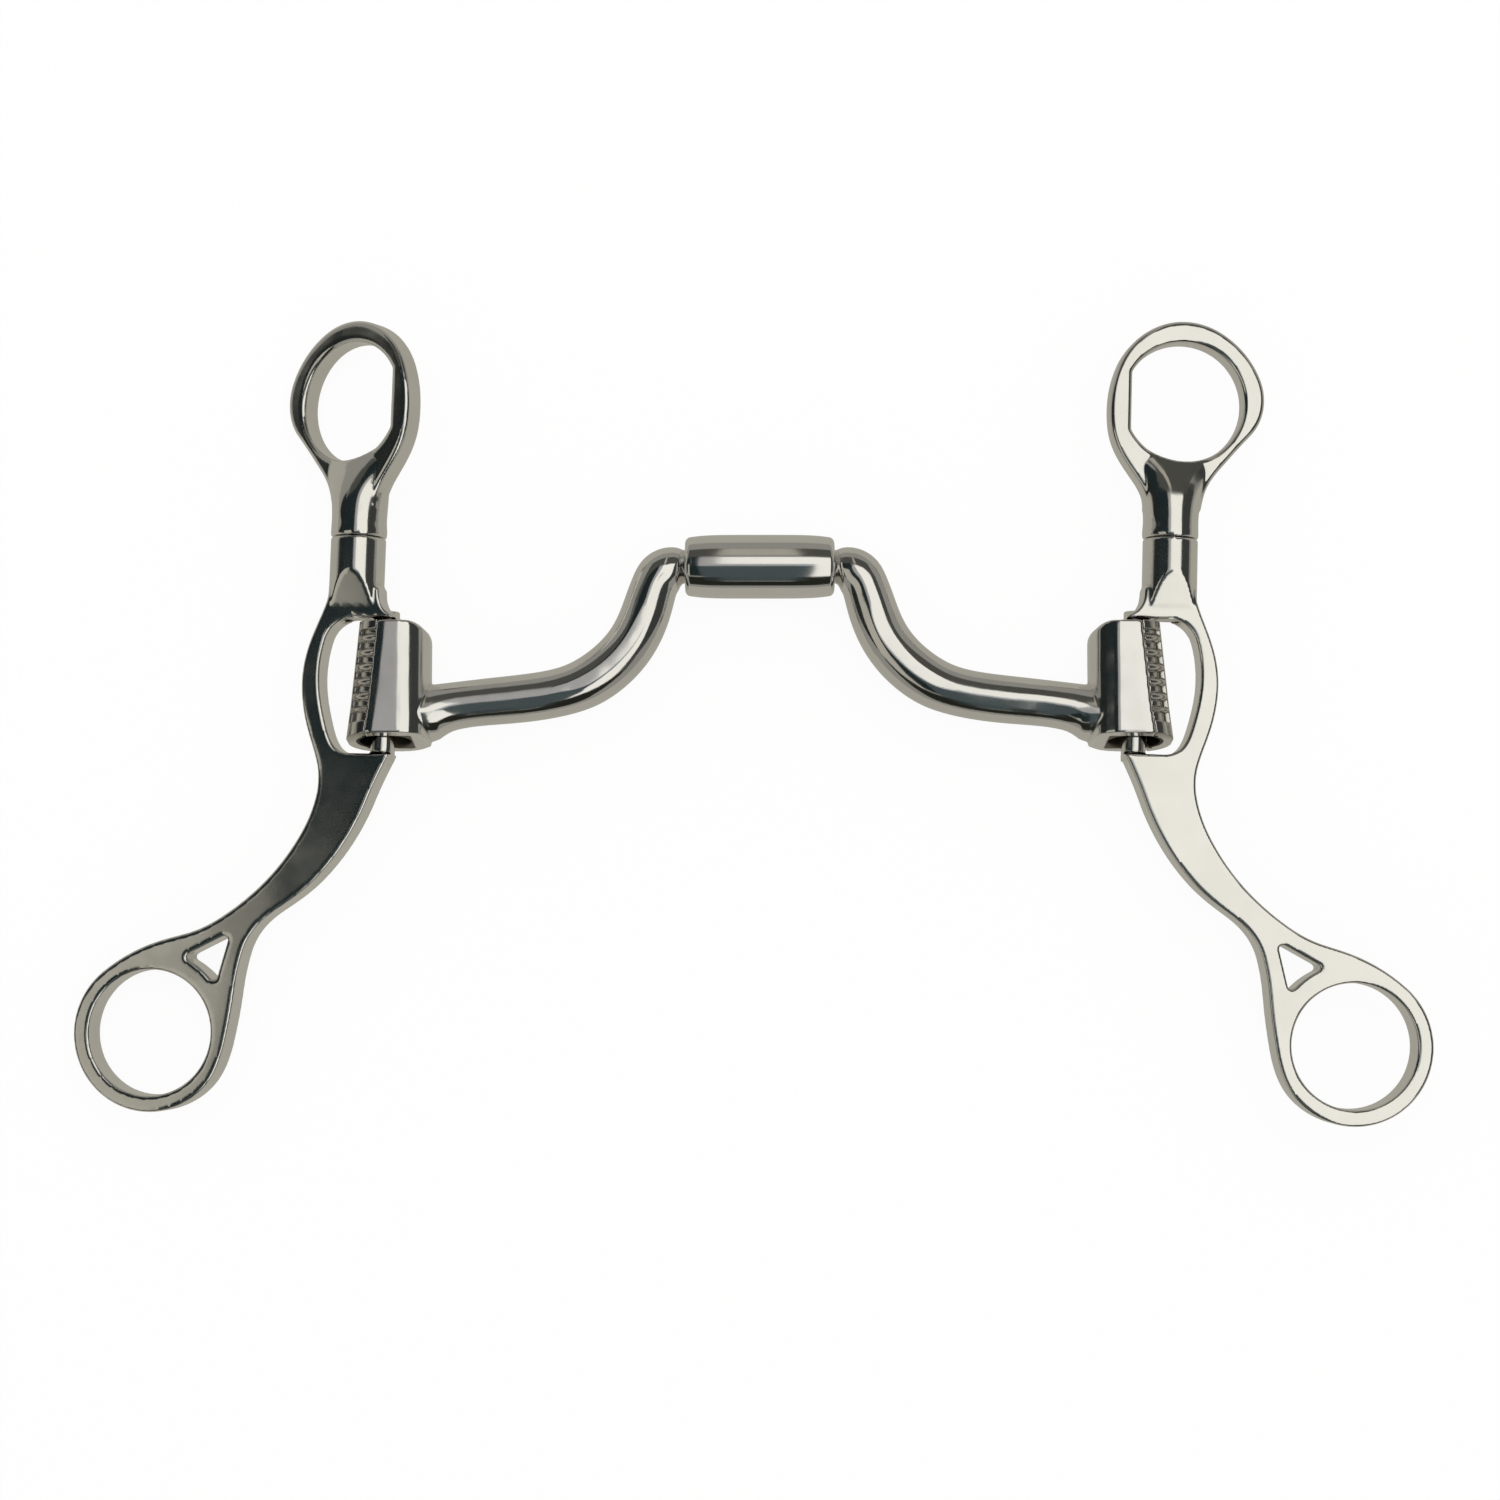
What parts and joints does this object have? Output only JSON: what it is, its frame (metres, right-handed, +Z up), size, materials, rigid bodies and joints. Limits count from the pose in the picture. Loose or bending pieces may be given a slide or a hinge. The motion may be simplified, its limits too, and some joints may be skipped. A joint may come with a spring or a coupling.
{
  "type": "curb bit",
  "caption": "Loose-cheek curb bit with a ported two-piece mouth, centre roller, curved shanks and swivelling headstall rings.",
  "frame": {"origin": "centre of the bounding box at its bottom, where the bit lies on a table", "axes": "+X across the mouth towards the right cheek, +Y from the rein rings towards the headstall rings, +Z up from the table"},
  "size_m": [0.2606, 0.1556, 0.0197],
  "materials": {
    "polished_steel": "polished cast stainless steel",
    "roller_steel": "turned and polished stainless steel",
    "ribbed_steel": "polished ribs over dark recesses",
    "pin_steel": "plain drawn stainless steel"
  },
  "bodies": {
    "left_half": {"left_mouth_arm": "polished_steel", "left_sleeve_strip": "ribbed_steel", "roller_axle": "pin_steel", "axle_fixing_dowel": "pin_steel"},
    "right_half": {"right_mouth_arm": "polished_steel", "right_sleeve_strip": "ribbed_steel", "axle_retaining_dowel": "pin_steel"},
    "roller": {"centre_roller": "roller_steel"},
    "left_cheek": {"left_shank": "polished_steel"},
    "right_cheek": {"right_shank": "polished_steel"},
    "left_ring": {"left_headstall_ring": "polished_steel", "left_swivel_pin": "pin_steel"},
    "right_ring": {"right_headstall_ring": "polished_steel", "right_swivel_pin": "pin_steel"}
  },
  "joints": [
    {"name": "mouth_swivel", "type": "hinge", "parent": "left_half", "child": "right_half", "pos_m": [0.00192, 0.02961, 0.01198], "axis": [1, 0, 0], "continuous": true},
    {"name": "roller_spin", "type": "hinge", "parent": "left_half", "child": "roller", "pos_m": [0.00192, 0.02961, 0.01198], "axis": [1, 0, 0], "continuous": true},
    {"name": "left_cheek_swing", "type": "hinge", "parent": "left_half", "child": "left_cheek", "pos_m": [-0.07029, 0.00628, 0.01198], "axis": [0.0297, 0.9996, 0], "range_deg": [-125, 130]},
    {"name": "right_cheek_swing", "type": "hinge", "parent": "right_half", "child": "right_cheek", "pos_m": [0.07411, 0.00628, 0.01198], "axis": [0.0297, 0.9996, 0], "range_deg": [-130, 130]},
    {"name": "left_ring_swivel", "type": "hinge", "parent": "left_cheek", "child": "left_ring", "pos_m": [-0.07584, 0.03289, 0.01115], "axis": [0.0297, 0.9996, 0], "continuous": true},
    {"name": "right_ring_swivel", "type": "hinge", "parent": "right_cheek", "child": "right_ring", "pos_m": [0.08129, 0.03251, 0.01182], "axis": [0.0297, 0.9996, 0], "continuous": true}
  ]
}
